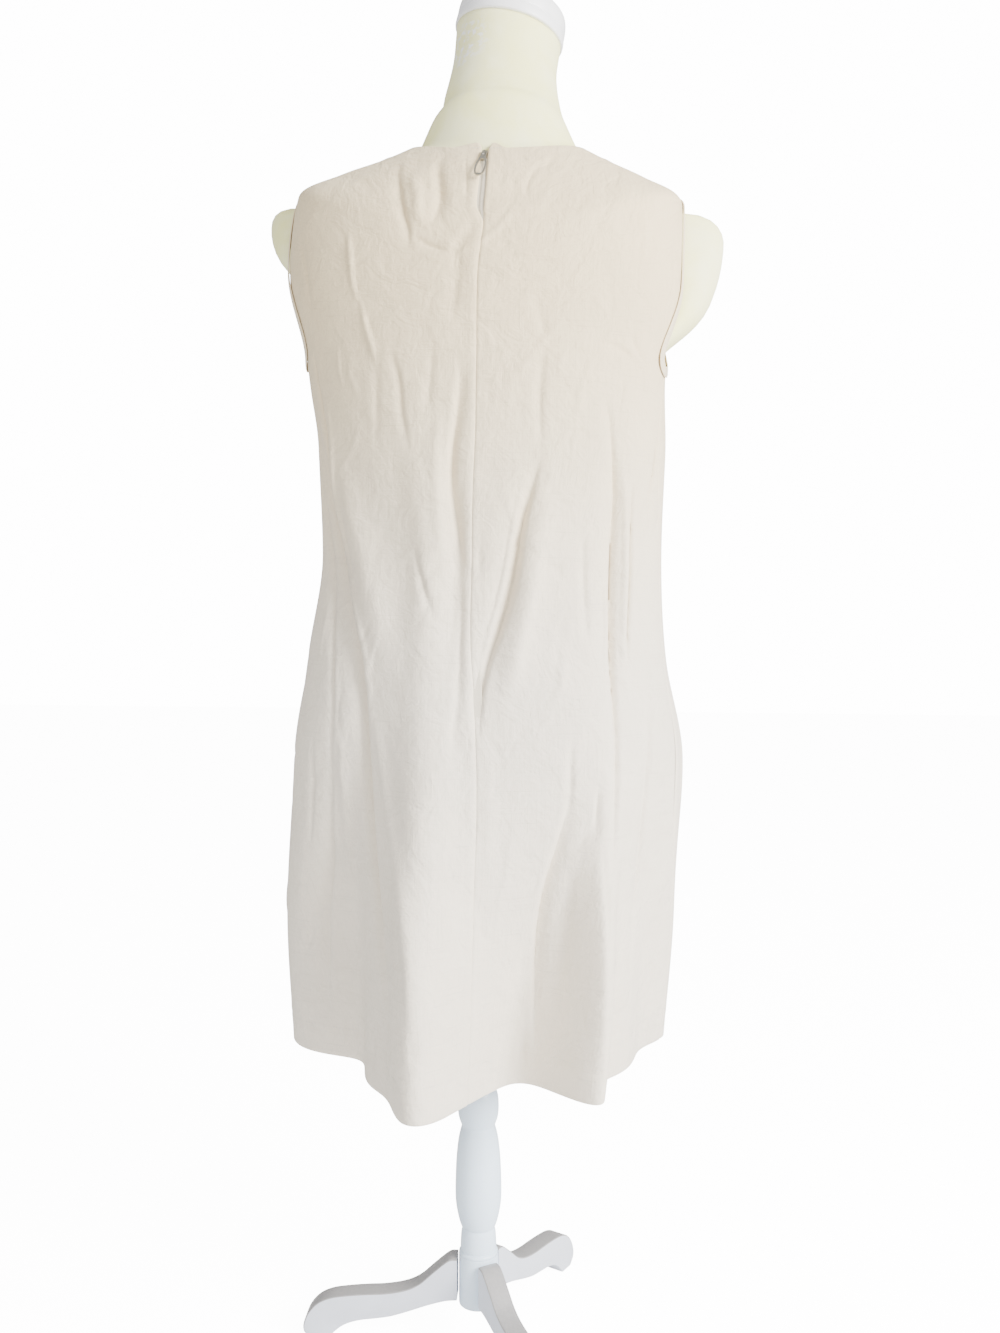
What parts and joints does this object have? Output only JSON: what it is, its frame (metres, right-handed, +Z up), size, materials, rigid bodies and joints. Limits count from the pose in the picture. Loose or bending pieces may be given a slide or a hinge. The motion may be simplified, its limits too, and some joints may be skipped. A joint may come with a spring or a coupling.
{
  "type": "shift dress on a dress form with stand",
  "caption": "Sleeveless knee-length shift dress with a centre back zip, on a limbless dress form with a rounded neck cap, a turned column and a tripod of scroll legs.",
  "frame": {"origin": "on the floor, under the middle of the whole part's box", "axes": "+Z up; the dress faces -Y, its centre back is at +Y and +X is the wearer's left"},
  "size_m": [0.4552, 0.3646, 1.3535],
  "materials": {
    "linen": "matt plain-weave linen with slubs",
    "zip_tape": "matt woven tape",
    "zip_metal": "satin nickel plate",
    "form_cover": "matt cream jersey cover",
    "white_paint": "satin white paint on turned wood"
  },
  "bodies": {
    "dress_on_form": {"front_panel": "linen", "back_panel_left": "linen", "back_panel_right": "linen", "armhole_band_left": "linen", "armhole_band_right": "linen", "pocket_bag_left": "linen", "pocket_bag_right": "linen", "zip_tape": "zip_tape", "zip_slider": "zip_metal", "form_torso": "form_cover", "neck_cap": "white_paint", "pole": "white_paint", "column": "white_paint", "hub": "white_paint", "leg_1": "white_paint", "leg_2": "white_paint", "leg_3": "white_paint"},
    "pull_tab": {"zip_pull_tab": "zip_metal"}
  },
  "joints": [
    {"name": "pull_tab_hinge", "type": "hinge", "parent": "dress_on_form", "child": "pull_tab", "pos_m": [-0.0065, 0.06399, 1.164], "axis": [0.996, -0.0323, 0.0827], "range_deg": [0, 165]}
  ]
}
